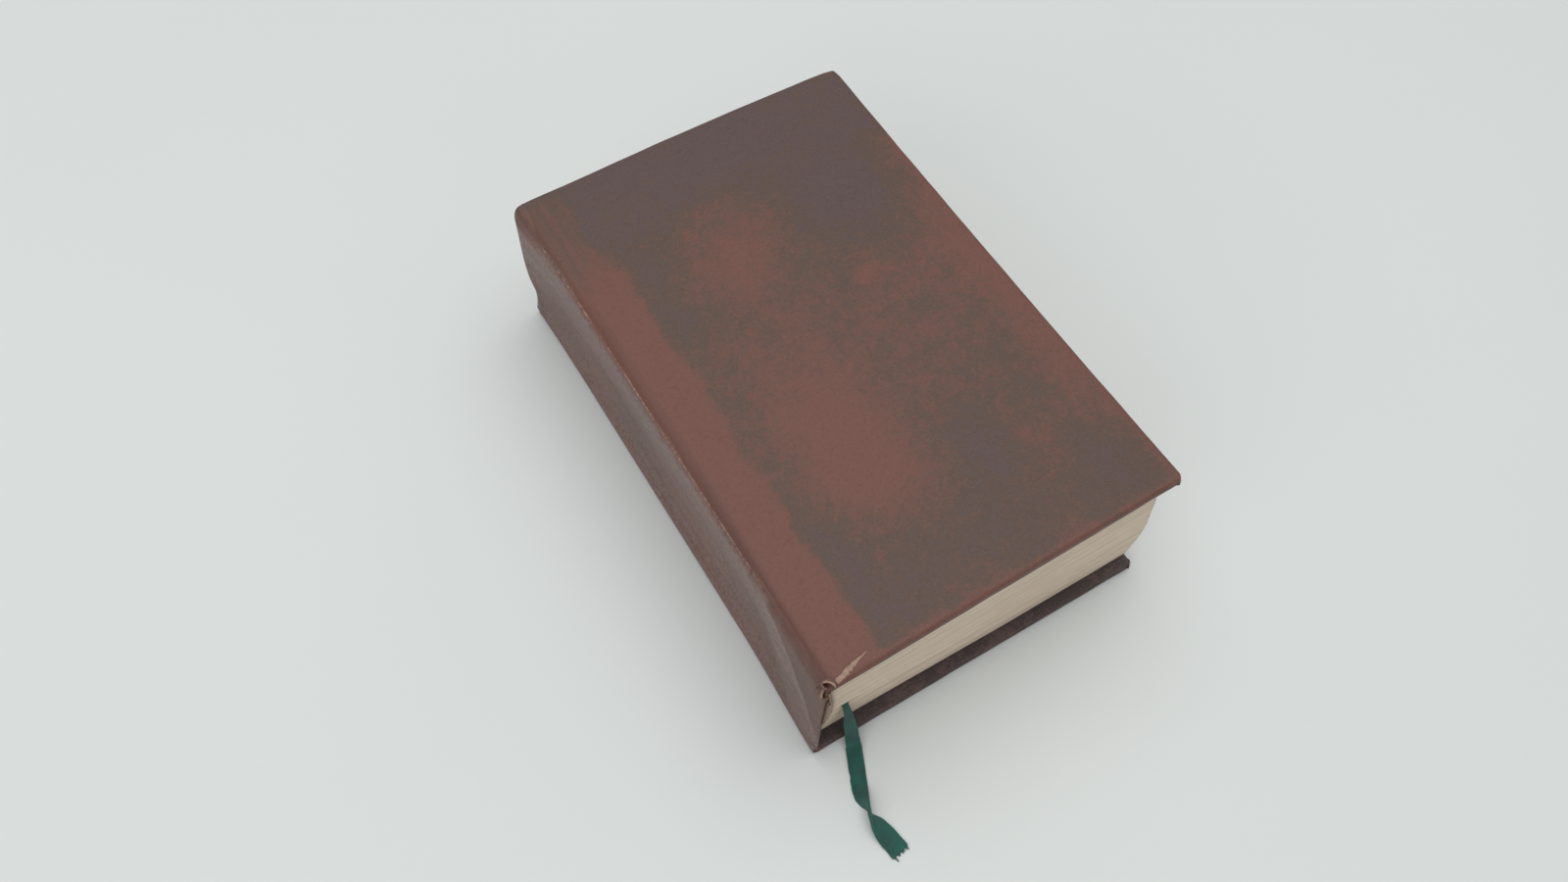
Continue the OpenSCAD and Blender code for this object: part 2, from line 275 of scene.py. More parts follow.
def cut_paper():
    """Leaf edges as fine lines along the page block, browner where they are dusty"""
    material, tree, shader = new_material("cut_paper", Roughness=0.85, Sheen_Weight=0.1)
    leaf = add_node(tree, "ShaderNodeAttribute", attribute_name="leaf").outputs["Fac"]
    place = own_place(tree)
    lines = []
    for leaves_in_block, detail, breaks in ((55.0, 2.0, 16.0), (240.0, 3.0, 130.0)):
        along = add_node(tree, "ShaderNodeVectorMath", {0: place, 1: (breaks, breaks, 0.0)},
                         operation="MULTIPLY").outputs[0]
        up = math_node(tree, "MULTIPLY", leaf, leaves_in_block)
        at = add_node(tree, "ShaderNodeCombineXYZ", {2: up}).outputs[0]
        at = add_node(tree, "ShaderNodeVectorMath", {0: at, 1: along}, operation="ADD").outputs[0]
        lines.append(noise_value(tree, at, 1.0, detail))
    dust = noise_value(tree, place, 34.0, 5.0)
    share = math_node(tree, "ADD", math_node(tree, "MULTIPLY", lines[0], 0.55),
                      math_node(tree, "MULTIPLY", lines[1], 0.45))
    paper = mix_colours(tree, ramp_between(tree, share, 0.3, 0.62),
                        (0.5, 0.4, 0.29), (0.735, 0.61, 0.475))
    dusty = math_node(tree, "MULTIPLY", ramp_between(tree, dust, 0.45, 0.75), 0.35)
    tree.links.new(mix_colours(tree, dusty, paper, (0.56, 0.44, 0.31)), shader.inputs["Base Color"])
    add_bump(tree, shader, share, 0.00014)
    return material


bm = bmesh.new()
bmesh.ops.create_cube(bm, size=1)
for axis, cuts in ((2, 150), (1, 44), (0, 84)):
    direction = Vector([float(i == axis) for i in range(3)])
    edges = [e for e in bm.edges
             if abs((e.verts[1].co - e.verts[0].co).normalized().dot(direction)) > 0.99]
    bmesh.ops.subdivide_edges(bm, edges=edges, cuts=cuts, use_grid_fill=True)
leaf_layer = bm.verts.layers.float.new("leaf")
ribbon_x, ribbon_z = ribbon_route[0][0], ribbon_route[0][2]
for vert in bm.verts:
    a, b, up = (c + 0.5 for c in vert.co)
    u = 1 - up
    vert[leaf_layer] = u
    x = block_x + slide(u) + a * leaf_w - fore_edge_hollow * a ** 4 * math.sin(math.pi * u)
    y = (b - 0.5) * leaf_h - tail_shift * smooth(a * 1.5) * smooth((u - 0.4) / 0.5)
    z = block_z + up * (block_t + swell * a)
    # Bundles of leaves stand out by different small amounts at the three cut edges
    bundle = noise.noise(Vector((0, 0, u * 60))) + 0.6 * noise.noise(Vector((3, 0, u * 150)))
    if abs(b - 0.5) > 0.4999:
        y += math.copysign(bundle_step * bundle, y)
        y += math.copysign(long_step * noise.noise(Vector((x * 0.03, 9, u * 40))), y)
    if a > 0.9999:
        x += fore_edge_step * (bundle + noise.noise(Vector((y * 0.02, 5, u * 30))))
    # Round the ribbon the leaves part, and the gap goes in between them
    if b < 0.0001:
        beside = 1 - ((x - ribbon_x) / parted_reach) ** 2
        if beside > 0:
            lift = z - ribbon_z
            z += parted_lift * beside * math.copysign(1, lift) * math.exp(-abs(lift) / parted_fade)
            if abs(lift) < slit_half:
                y += slit_depth * beside ** 0.5
    vert.co = (x, y, z)
make_piece(bm, "leaves", cut_paper(), "block", replaced=["text_block"])


# Leather of the two covers. Calf over boards, stained red-brown and dabbed with a sponge to a
# dark brown mottle, rounded over the board's edges and turned in on the inner faces.
cover_w, cover_h, cover_t = 116, 180, 3.2
half_h = cover_h / 2
hinge_x, back_hinge_z, front_hinge_z = -60.5418, 3.35, 50.9505
hinge_out, hinge_gap = 1.4, 0.3
tilt = math.atan(swell / leaf_w)
corner_r, edge_r, shoulder_r, under_r, spine_under_r = 2.5, 1.3, 2.8, 0.8, 0.15
turn_in_w, turn_in_z, leather_t, turn_in_t = 13, 0.2, 0.8, 0.5
fore_edge_bow, corner_out, edge_wander, face_wander = 0.6, 0.1, 0.12, 0.1
leather_marks = ("tone", "wear", "bloom", "raw", "even", "soiled")


def shader_group(name, inputs, outputs):
    tree = bpy.data.node_groups.new(name, "ShaderNodeTree")
    for in_out, sockets in (("INPUT", inputs), ("OUTPUT", outputs)):
        for label, kind in sockets.items():
            tree.interface.new_socket(label, in_out=in_out, socket_type="NodeSocket" + kind)
    return tree, tree.nodes.new("NodeGroupInput"), tree.nodes.new("NodeGroupOutput")


def sponge_mottle_group():
    """Stain of the leather: the tone painted on it, broken up by a coarse sponge and fine specks, with
    painted shade at its darkest tones
    """
    tree, given, result = shader_group(
        "sponge_mottle", {"Place": "Vector", "Tone": "Float", "Even": "Float"}, {"Stain": "Color"})
    place = given.outputs["Place"]
    value = given.outputs["Tone"]
    broken_up = math_node(tree, "SUBTRACT", 1.0, math_node(tree, "MULTIPLY", given.outputs["Even"], 0.6))
    for scale, detail, weight in ((60.0, 5.0, 1.7), (280.0, 5.0, 1.9), (1100.0, 3.0, 1.6)):
        ragged = math_node(tree, "SUBTRACT", noise_value(tree, place, scale, detail, 0.68), 0.5)
        ragged = math_node(tree, "MULTIPLY", ragged, broken_up)
        value = math_node(tree, "ADD", value, math_node(tree, "MULTIPLY", ragged, weight))
    share = add_node(tree, "ShaderNodeMapRange",
                     {"Value": value, "From Min": -1.0, "From Max": 1.6}).outputs[0]
    stain = add_node(tree, "ShaderNodeValToRGB", {"Fac": share})
    # From bare red through brown and a purplish brown to a near-black brown, which carries the painted
    # shade on edges, folds and gaps
    stops = stain.color_ramp.elements
    stops[0].position, stops[0].color = 0.154, (0.14, 0.0515, 0.0345, 1)
    stops[1].position, stops[1].color = 1.0, (0.036, 0.025, 0.025, 1)
    for position, colour in ((0.35, (0.11, 0.05, 0.0337, 1)), (0.47, (0.084, 0.0465, 0.032, 1)),
                             (0.57, (0.082, 0.0465, 0.036, 1)), (0.69, (0.08, 0.0478, 0.0455, 1)),
                             (0.88, (0.078, 0.0465, 0.045, 1))):
        stops.new(position).color = colour
    tree.links.new(stain.outputs["Color"], result.inputs["Stain"])
    return tree


def leather_grain_group():
    """Fine pebbled grain with pores, as a height"""
    tree, given, result = shader_group("leather_grain", {"Place": "Vector"}, {"Height": "Float"})
    place = given.outputs["Place"]
    pebbles = add_node(tree, "ShaderNodeTexVoronoi",
                       {"Vector": place, "Scale": 1500.0}, feature="SMOOTH_F1").outputs[0]
    creases = noise_value(tree, place, 420.0, 6.0, 0.7)
    height = math_node(tree, "SUBTRACT", creases, math_node(tree, "MULTIPLY", pebbles, 0.35))
    tree.links.new(height, result.inputs["Height"])
    return tree


def mottled_leather():
    material, tree, shader = new_material("mottled_leather", Specular_IOR_Level=0.5)
    place = add_node(tree, "ShaderNodeAttribute", attribute_name="rest_place").outputs["Vector"]
    tone, wear, bloom, raw, even, soiled = (
        add_node(tree, "ShaderNodeAttribute", attribute_name=mark).outputs["Fac"]
        for mark in leather_marks)
    mottle = add_node(tree, "ShaderNodeGroup", node_tree=sponge_mottle_group())
    grain = add_node(tree, "ShaderNodeGroup", node_tree=leather_grain_group())
    tree.links.new(place, mottle.inputs["Place"])
    tree.links.new(tone, mottle.inputs["Tone"])
    tree.links.new(even, mottle.inputs["Even"])
    tree.links.new(place, grain.inputs["Place"])
    fine = noise_value(tree, place, 900.0, 3.0)
    pores = math_node(tree, "MULTIPLY", ramp_between(tree, fine, 0.5, 0.72), 0.22)
    colour = mix_colours(tree, pores, mottle.outputs["Stain"], (0.055, 0.027, 0.022))
    # Fine pale specks are painted highlights on the grain
    specks = ramp_between(tree, noise_value(tree, place, 2400.0, 2.0), 0.56, 0.7)
    colour = mix_colours(tree, math_node(tree, "MULTIPLY", specks, 0.22), colour, (0.2, 0.135, 0.11))
    # Painted shade on the shoulder over the front joint
    colour = mix_colours(tree, soiled, colour, (0.05, 0.021, 0.018))
    # Scuffed leather is greyer and paler, and the same grey paints a sheen on the spine's upper half;
    # rubbed edges show the red skin under the stain
    scuffed_and_sheen = math_node(tree, "MULTIPLY", bloom, ramp_between(tree, fine, 0.25, 0.6))
    colour = mix_colours(tree, scuffed_and_sheen, colour, (0.24, 0.179, 0.168))
    rubbed = math_node(tree, "MULTIPLY", wear, ramp_between(
        tree, noise_value(tree, place, 240.0, 5.0), 0.35, 0.6))
    colour = mix_colours(tree, rubbed, colour, (0.165, 0.085, 0.064))
    # Torn leather shows pale fibres, and the same pale colour paints the highlight along the front
    # joint's crest
    torn_and_highlight = ramp_between(tree, math_node(tree, "ADD", raw, math_node(
        tree, "MULTIPLY", math_node(tree, "SUBTRACT", fine, 0.5), 0.5)), 0.35, 0.6)
    fibre = mix_colours(tree, fine, (0.17, 0.105, 0.072), (0.43, 0.285, 0.21))
    colour = mix_colours(tree, torn_and_highlight, colour, fibre)
    tree.links.new(colour, shader.inputs["Base Color"])
    rough = math_node(tree, "ADD", 0.5, math_node(tree, "MULTIPLY", fine, 0.16))
    rough = math_node(tree, "ADD", rough, math_node(tree, "MULTIPLY", scuffed_and_sheen, 0.12))
    tree.links.new(rough, shader.inputs["Roughness"])
    add_bump(tree, shader, grain.outputs["Height"], 0.00016)
    return material


def paint(bm, name, value_at):
    """Keeps a number for each point, such as how dark or how worn the leather is there"""
    layer = bm.verts.layers.float.new(name)
    for vert in bm.verts:
        vert[layer] = value_at(vert.co)


def keep_rest_place(bm):
    """Keeps each point's place at rest, in metres, so that the pattern turns with the piece"""
    layer = bm.verts.layers.float_vector.new("rest_place")
    for vert in bm.verts:
        vert[layer] = vert.co * MM


def soft_dab(x, y, dab):
    """Share of a dab of the sponge at a point"""
    cx, cy, rx, ry, strength = dab
    away = ((x - cx) / rx) ** 2 + ((y - cy) / ry) ** 2
    return strength * math.exp(-away)


# Dabs on the front cover: centre, reach across and along, and strength, which is above 0
# where they are dark and below 0 where the red stays bare
front_dabs = [
    (31, 46, 17, 20, 1.0), (-37, 36, 9, 34, 0.2), (-11, 35, 10, 21, -0.75),
    (19, 13.2, 3.2, 2.2, -1.1), (16, 11.5, 2, 1.8, -0.6), (-5, 9, 8, 5, -0.3),
    (-17, -38, 15, 19, -1.4), (-14, -9, 17, 13, -0.55), (12, -20, 9, 9, -0.2),
    (53, -6, 8, 54, -0.95), (14, -52, 8, 15, 0.45), (46, -74, 8, 12, 0.5), (-37, -69, 7, 17, 0.6),
    (27, -5, 4, 4, 0.5), (-27, -12, 8, 32, -0.3), (22, 0, 21, 22, -0.3), (30, -62, 7, 9, -0.25),
    (41, 12, 7, 13, -0.3), (5, 46, 7, 8, -0.3), (-6, -76, 16, 6, 0.25),
    (-12, 53, 1, 1, 1.2), (-6, 81, 1, 1, 0.9), (11, 37, 1, 1, 0.9), (27, 11, 0.7, 0.7, -1.5)]


def band_edge(y):
    """Where the evenly stained band along the joint ends"""
    return -43 - 3.5 * smooth((y - 40) / 40)


def front_tone(co):
    """Red along the joint, a dark zone at the head and dabs between them, with painted shade on the edge
    walls and along a fold at the head
    """
    x, y = co.x, co.y
    ragged = 2.6 * noise.noise(Vector((7, y * 0.07, 0))) + 1.4 * noise.noise(Vector((9, y * 0.4, 0)))
    band = smooth((band_edge(y) - x + ragged) / 3 + 0.5)
    head = 0.75 * smooth((y - 54 + 7 * noise.noise(Vector((x * 0.06, 3, 0)))) / 14)
    dabs = sum(soft_dab(x, y, dab) for dab in front_dabs)
    rim = smooth((abs(y) - 86.5) / 2.5) * (1 if y < 0 else 0.3) + smooth((x - 53) / 3)
    # Towards the head the band is duller, with dark lines along it
    streak = noise.noise(Vector((x * 0.6, y * 0.015, 1)))
    lines = 0.95 * smooth((y - 28) / 50) + (0.12 + 0.3 * smooth((y - 20) / 40)) * streak
    # Painted shade on the cover's edge walls below the rounding, away from the spine
    down = front_hinge_z + hinge_gap / 2 + cover_t + tilt * (x - hinge_x) - co.z
    wall = smooth((down - 0.6) / 2.2) * smooth((x + 57.5) / 1.5)
    # Painted shade of a small fold along the head edge by the spine
    head_fold_shade = math.exp(-((y - 89.15) / 0.35) ** 2) * smooth((-44 - x) / 4)
    flat = (1 - band) * (0.2 + head + dabs - 0.6 * rim) - band * (0.85 - lines)
    return min(0.85, flat) + 1.1 * wall + 1.7 * head_fold_shade


def front_even(co):
    """The band along the joint is stained evenly, the rest is broken up by the sponge"""
    return smooth((band_edge(co.y) + 1 - co.x) / 4)


def front_soiled(co):
    """Painted shade on the shoulder over the joint, wider and darker at the tail"""
    to_tail = smooth((-20 - co.y) / 45)
    outside = smooth((co.x + 59.2 + 3.2 * to_tail) / 1.2)
    inside = smooth((-54.7 - 1.2 * to_tail - co.x) / 2)
    return (0.22 + 0.2 * smooth((15 - co.y) / 60)) * outside * inside * smooth((62 - co.y) / 30)


def rim_distance(x, y):
    """Distance from a cover's outline at the fore-edge, head and tail, x being that from the spine"""
    corner_x, corner_y = cover_w - corner_r, half_h - corner_r
    if x > corner_x and abs(y) > corner_y:
        return corner_r - math.hypot(x - corner_x, abs(y) - corner_y)
    return min(cover_w - x, half_h - abs(y))


def drop(distance, radius):
    """How far a rounded edge of this radius has gone down at a distance from the rim"""
    inside = max(0.0, radius - distance)
    return radius - math.sqrt(max(0.0, radius * radius - inside * inside))


def cut_at(bm, axis, places):
    """Cuts the mesh by planes across an axis"""
    normal = [float(i == axis) for i in range(3)]
    for place in places:
        point = [place * n for n in normal]
        bmesh.ops.bisect_plane(bm, geom=bm.verts[:] + bm.edges[:] + bm.faces[:],
                               plane_co=point, plane_no=normal, dist=0.0005)


def steps(start, end, count):
    return [start + (end - start) * i / count for i in range(count + 1)]


def cover_mesh(arch=0.0, tail_in=0.0, extra_x=(), extra_y=()):
    """Skin of a cover in its own place: x from the spine edge, inner face down, arched up"""
    bm = bmesh.new()
    bmesh.ops.create_cube(bm, size=1)
    bmesh.ops.scale(bm, vec=(cover_w, cover_h, cover_t - turn_in_z), verts=bm.verts)
    bmesh.ops.translate(bm, vec=(cover_w / 2, 0, (cover_t + turn_in_z) / 2), verts=bm.verts)
    corners = [e for e in bm.edges if all(v.co.x > cover_w / 2 for v in e.verts)
               and abs(e.verts[0].co.z - e.verts[1].co.z) > 1]
    bmesh.ops.bevel(bm, geom=corners, offset=corner_r, offset_type="OFFSET", segments=6,
                    profile=0.5, affect="EDGES", material=-1)
    near_rim = [0.08, 0.25, 0.5, 0.85, 1.3]
    near_shoulder = [0.08, 0.3, 0.6, 1.0, 1.6, 2.4]
    window_x = cover_w - turn_in_w
    cut_at(bm, 0, near_shoulder + [leather_t] + steps(4, cover_w - 4, 54)
           + [window_x] + [cover_w - d for d in near_rim] + list(extra_x))
    cut_at(bm, 1, [side * (half_h - d) for side in (-1, 1) for d in near_rim + [turn_in_w]]
           + steps(4 - half_h, half_h - 4, 80) + list(extra_y))
    cut_at(bm, 2, [0.6, 1.2, 1.8])
    top, low = cover_t, turn_in_z
    for vert in bm.verts:
        x, y, z = vert.co
        rim = rim_distance(x, y)
        if z > top - 0.001:
            # The corner by the spine at the head has stayed sharper
            sharp = smooth((24 - x) / 20) * smooth(y / 20)
            vert.co.z -= max(drop(rim, edge_r * (1 - 0.5 * sharp)), drop(x, shoulder_r))
        elif z < low + 0.001:
            vert.co.z += max(drop(rim, under_r), drop(x, spine_under_r))
        elif min(rim, x) < 0.001:
            # The wall between the two roundings
            at_spine = x < 0.001
            ceiling = top - (shoulder_r if at_spine else edge_r)
            ground = low + (spine_under_r if at_spine else under_r)
            vert.co.z = ground + (z - low) / (top - low) * (ceiling - ground)
    window = [f for f in bm.faces
              if all(v.co.z < low + 0.01 for v in f.verts)
              and leather_t < f.calc_center_median().x < window_x
              and abs(f.calc_center_median().y) < half_h - turn_in_w]
    bmesh.ops.delete(bm, geom=window, context="FACES")
    for vert in bm.verts:
        # The fore-edge has drawn in between its corners, and no edge is dead straight
        x, y = vert.co.x, vert.co.y
        to_fore_edge = smooth((x - 70) / 40)
        vert.co.x += (corner_out - fore_edge_bow * (1 - (y / half_h) ** 2)) * to_fore_edge
        across = 1 - (2 * x / cover_w - 1) ** 2
        vert.co.z += arch * across * smooth((vert.co.z - turn_in_z) / 1.6)
        wander = edge_wander * smooth(1 - min(rim_distance(x, y), 4) / 4)
        vert.co.x += wander * noise.noise(Vector((3, y * 0.09, 0))) * to_fore_edge
        vert.co.y += wander * noise.noise(Vector((x * 0.09, 5, 0)))
        vert.co.y += tail_in * max(0, (x - 20) / 95) * smooth((-y - 70) / 20)
        uneven = face_wander * noise.noise(Vector((x * 0.06, y * 0.06, 3)))
        vert.co.z += uneven * smooth((vert.co.z - 2) * 2)
    return bm


leather = mottled_leather()


def finish_leather(bm, name, body=None, replaced=(), thickness=turn_in_t, **marks):
    """Paints the leather, each kind of mark by its own rule, and gives the skin its thickness"""
    for mark in leather_marks:
        paint(bm, mark, marks.get(mark, lambda co: 0.0))
    keep_rest_place(bm)
    piece = make_piece(bm, name, leather, body, replaced)
    wall = piece.modifiers.new("leather_thickness", "SOLIDIFY")
    wall.thickness = thickness * MM
    wall.offset = -1
    return piece


on_front = (Matrix.Translation((hinge_x, 0, front_hinge_z)) @ Matrix.Rotation(-tilt, 4, "Y")
            @ Matrix.Translation((hinge_out, 0, hinge_gap / 2)))
on_back = Matrix.Translation((hinge_x + hinge_out, 0, cover_t)) @ Matrix.Diagonal((1, 1, -1, 1))


def cover_wear(co):
    """Rubbed along the outline of a cover and most at its corners"""
    x = co.x - hinge_x - hinge_out
    rim = rim_distance(x, co.y)
    corner = math.hypot(cover_w - x, half_h - abs(co.y))
    return min(1.0, 0.35 * smooth(1 - rim / 1.6) + 0.6 * smooth(1 - corner / 8))


# A tear in the front cover runs from the tail edge near the joint, slanting away over the
# corner. Its middle gapes and its lower end has a second, shorter lobe.
tear_line = [(-57.2, -88.7, 0.3), (-55.8, -88.8, 0.7), (-54, -88.4, 0.72), (-51.8, -87.7, 0.85),
             (-50, -87.2, 0.6), (-47.9, -86.7, 0.32), (-45.6, -86.2, 0.1)]
tear_depth = 0.35


def tear_at(co):
    """1 inside the tear and 0 beyond its ragged edge, on the outer face alone"""
    if co.z < 50 or co.y > -80 or co.x > -40:
        return 0.0
    best = 0.0
    for (ax, ay, a_w), (bx, by, b_w) in zip(tear_line, tear_line[1:]):
        length_squared = (bx - ax) ** 2 + (by - ay) ** 2
        t = max(0.0, min(1.0, ((co.x - ax) * (bx - ax) + (co.y - ay) * (by - ay)) / length_squared))
        away = math.hypot(co.x - ax - t * (bx - ax), co.y - ay - t * (by - ay))
        ragged = 1 + 0.5 * noise.noise(Vector((co.x * 1.7, co.y * 1.7, 4)))
        best = max(best, smooth(1.5 - away / ((a_w + (b_w - a_w) * t) * ragged)))
    return best


bm = cover_mesh(arch=1.2, tail_in=0.5, extra_x=steps(1.5, 15, 48), extra_y=steps(-89.5, -85, 22))
bmesh.ops.transform(bm, matrix=on_front, verts=bm.verts)
for vert in bm.verts:
    vert.co.z -= tear_depth * tear_at(vert.co)
finish_leather(bm, "front_cover_skin", "front_cover", ["front_cover_leather"], tone=front_tone,
               wear=cover_wear, raw=tear_at, even=front_even, soiled=front_soiled)


def back_tone(co):
    """The back cover is darker, with loose red patches, and its edges and turn-ins are near-black:
    darker edge leather with painted shade over it
    """
    coarse = noise.noise(Vector((co.x * 0.03, co.y * 0.03, 11)))
    band = smooth((-44 - co.x) / 4 + 0.5)
    face = (1 - band) * (0.25 + 1.4 * coarse) - band * 0.8
    return face + (1.5 - face) * smooth(0.3 + co.z / 0.8) * smooth((co.x + 58.6) / 1.2)


bm = cover_mesh(tail_in=-0.4)
bmesh.ops.transform(bm, matrix=on_back, verts=bm.verts)
bmesh.ops.reverse_faces(bm, faces=bm.faces)
finish_leather(bm, "back_cover_skin", "back_cover", ["back_cover_leather"],
               tone=back_tone, wear=lambda co: 0.4 * cover_wear(co))


# Leather of the spine. One skin over a card inlay, turned in round it at the head and the tail.
# Its middle has caved in after the slid leaves, while the two ends have stayed out.
spine_set, end_flare, flare_len = 1.2, 1.0, 45
block_top = block_z + block_t
spine_bottom, spine_top = back_hinge_z + hinge_gap / 2, front_hinge_z - hinge_gap / 2
follow, head_level, head_rest, head_slope, tail_rise, hollow_fade = 0.6, 44, 5, 0.5, 30, 24
fold_t, spine_turn_in, cap_len, head_out = 1.9, 12, 4.5, 0.8
cap_round, blunt_share, blunt_r = 0.55, 0.25, 0.6


def spine_x(y, z):
    """Outer face of the spine at a place along it and a height"""
    u = max(0.0, min(1.0, (block_top - z) / block_t))
    hollow = (smooth((half_h - head_rest + (head_level - z) * head_slope - y) / hollow_fade)
              * smooth((y + half_h - tail_rise * z / spine_top) / hollow_fade))
    flare = end_flare * smooth(1 - (half_h - abs(y)) / flare_len)
    flare += head_out * smooth((y - 64) / 26) * smooth((z - 10) / 14)
    return hinge_x + spine_set - flare + follow * slide(u) * hollow


def spine_place(s, z):
    """Point of the skin at a length along it: turned in, round the cap, out along the spine"""
    side = -1 if s < 0 else 1
    s = abs(s)
    straight = half_h - cap_len
    if s <= straight:
        return Vector((spine_x(side * s, z), side * s, z))
    past = (s - straight) / cap_len
    x = spine_x(side * half_h, z)
    # At the tail the cap is pressed flat below the torn corner
    fold = fold_t * (1 - 0.5 * smooth((z - 16) / 16)) if side < 0 else fold_t
    if past < 1:
        # The cap rounds off slowly outside and ends in a blunt edge
        angle = past * math.pi / 2
        return Vector((x + fold * cap_round * (1 - math.cos(angle)),
                       side * (straight + cap_len * math.sin(angle)), z))
    if past < 1 + blunt_share:
        turn = (past - 1) / blunt_share * math.pi / 2
        return Vector((x + fold * (cap_round + (1 - cap_round) * math.sin(turn)),
                       side * (half_h - blunt_r * (1 - math.cos(turn))), z))
    back = (past - 1 - blunt_share) * cap_len
    y = side * (half_h - blunt_r - back)
    return Vector((spine_x(y, z) + fold, y, z))


def spine_tone(co):
    """Red-brown, with painted shade where the cap's blunt edge faces the leaves and on the upper end of
    the head cap
    """
    cap_edge_shade = smooth((abs(co.y) - half_h + 1.6) / 0.8) * smooth((co.x + 59.9) / 0.6)
    cap_edge_shade += smooth((co.y - half_h + 0.9) / 0.5) * smooth((co.z - 42) / 2)
    return -0.1 + 0.6 * noise.noise(Vector((co.z * 0.1, co.y * 0.03, 2))) + 1.5 * cap_edge_shade


def tail_ridge(co):
    """Distance in front of the crease that runs from the joint down to the tail corner"""
    rise = max(0.0, min(1.0, co.z / 50))
    return co.y + 91 - 31 * rise ** 2.2


def spine_bloom(co):
    """Grey scuffing and painted sheen, strongest on the upper half, where the spine bulges, with a
    painted highlight along the crease at the tail
    """
    level = 0.52 + 0.33 * smooth((co.z - 10) / 34)
    inside = smooth(tail_ridge(co) / 3 + 0.5) * smooth((62 - co.z + (90 - co.y) * 0.4) / 8 - 1.5)
    # Painted highlight along the crease that runs down to the tail corner
    ridge = math.exp(-(tail_ridge(co) / 1.1) ** 2)
    streak = 0.25 * noise.noise(Vector((co.y * 0.02, co.z * 0.3, 6)))
    return max(0.0, min(1.0, (level + streak) * (0.25 + 0.75 * inside) + 0.6 * ridge))


def spine_wear(co):
    return 0.3 * smooth(1 - (half_h - abs(co.y)) / 5) + 0.3 * smooth((co.z - 46) / 4)


def face_outwards(bm):
    """Turns the faces of a sheet away from the leaves"""
    bmesh.ops.recalc_face_normals(bm, faces=bm.faces)
    outer = min(bm.faces, key=lambda f: f.calc_center_median().x)
    if outer.normal.x > 0:
        bmesh.ops.reverse_faces(bm, faces=bm.faces)


half_length = half_h + blunt_share * cap_len + spine_turn_in
bm = bmesh.new()
bmesh.ops.create_grid(bm, x_segments=190, y_segments=36, size=0.5)
for vert in bm.verts:
    s = 2 * half_length * vert.co.x
    z = spine_bottom + (vert.co.y + 0.5) * (spine_top - spine_bottom)
    place = spine_place(s, z)
    if abs(s) < half_h - cap_len:
        place.x += 0.12 * noise.noise(Vector((4, place.y * 0.05, z * 0.16)))
    vert.co = place
face_outwards(bm)
finish_leather(bm, "spine_skin", "block", ["spine_leather"], tone=spine_tone, wear=spine_wear,
               bloom=spine_bloom)


# Leather of the two joints. The same skin where it runs from the spine over the shoulder of
# each board, the part that bends when a cover is opened, made as a strip of its own.
strip_down, strip_over, over_spine, over_cover = 4, 2.9, 0.04, 0.05
crest_z, bend_on_cover, bend_on_spine = 53.0, 1.3, 0.8


def joint_strip(name, level_sign, base_z, on_cover, near_spine, near_cover, tail_out,
                head_out, head_square=0.0):
    """A strip from the spine's edge, bent round two points, over a cover's shoulder"""
    bm = bmesh.new()
    bmesh.ops.create_grid(bm, x_segments=130, y_segments=40, size=0.5)
    for vert in bm.verts:
        # The rows are closer together towards both ends
        y = (half_h - 0.2) * (0.6 * vert.co.x + 0.7 * math.sin(vert.co.x * math.pi))
        t = vert.co.y + 0.5
        start_z = base_z - level_sign * strip_down
        start = Vector((spine_x(y, start_z) + over_spine, y, start_z))
        end = on_cover @ Vector((strip_over, y, cover_t))
        end.z -= over_cover * level_sign
        end_share = smooth(1 - (half_h - abs(y)) / flare_len)
        outs = head_out if y > 0 else tail_out
        first, second = (Vector((hinge_x + over - out * end_share, y, base_z + level_sign * rise))
                         for (over, rise), out in zip((near_spine, near_cover), outs))
        # At the head the cap rounds off, and the shoulder has kept a squarer corner
        past = max(0.0, (y - half_h + cap_len) / cap_len)
        cap = cap_round * fold_t * (1 - math.sqrt(1 - past * past))
        square = head_square * smooth((y - half_h + 14) / 14)
        start.x += cap
        first += Vector((cap - 0.2 * square, 0, 0.3 * square * level_sign))
        second += Vector((0.5 * cap - 0.5 * square, 0, 0.75 * square * level_sign))
        vert.co = (start * (1 - t) ** 3 + first * 3 * t * (1 - t) ** 2
                   + second * 3 * t * t * (1 - t) + end * t ** 3)
        vert.co.z -= 0.8 * level_sign * drop(half_h - abs(y), 0.8) * smooth(t * 1.6 - 0.4)
    face_outwards(bm)

    def tone_at(co):
        cover_share = smooth((co.z - base_z) * level_sign / 2.5)
        on_cover_tone = front_tone(co) if level_sign > 0 else -0.8
        return cover_share * on_cover_tone + (1 - cover_share) * spine_tone(co)

    # The spine's grey scuffing and painted sheen, fading out towards the cover
    def bloom_at(co):
        return spine_bloom(co) * smooth((base_z - co.z) * level_sign / 3 + 0.95)

    def crest_highlight(co):
        # A fine pale line along the bend, as far as the crease at the tail, is a painted highlight on
        # the crest
        rubbed = math.exp(-((co.z - crest_z) / 0.5) ** 2) * smooth((82 - co.y) / 12)
        rubbed *= smooth((co.y + 66) / 12)
        return (0.46 + 0.1 * noise.noise(Vector((3, co.y * 0.1, 8)))) * rubbed

    marks = {"tone": tone_at, "wear": lambda co: 0.25, "bloom": bloom_at}
    if level_sign > 0:
        marks.update(raw=crest_highlight, soiled=front_soiled,
                     even=lambda co: smooth((co.z - base_z) / 2.5))
    piece = finish_leather(bm, name, **marks)
    start = Vector((hinge_x, 0, base_z + level_sign * bend_on_cover)) * MM
    end = Vector((hinge_x, 0, base_z - level_sign * bend_on_spine)) * MM
    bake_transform(piece)


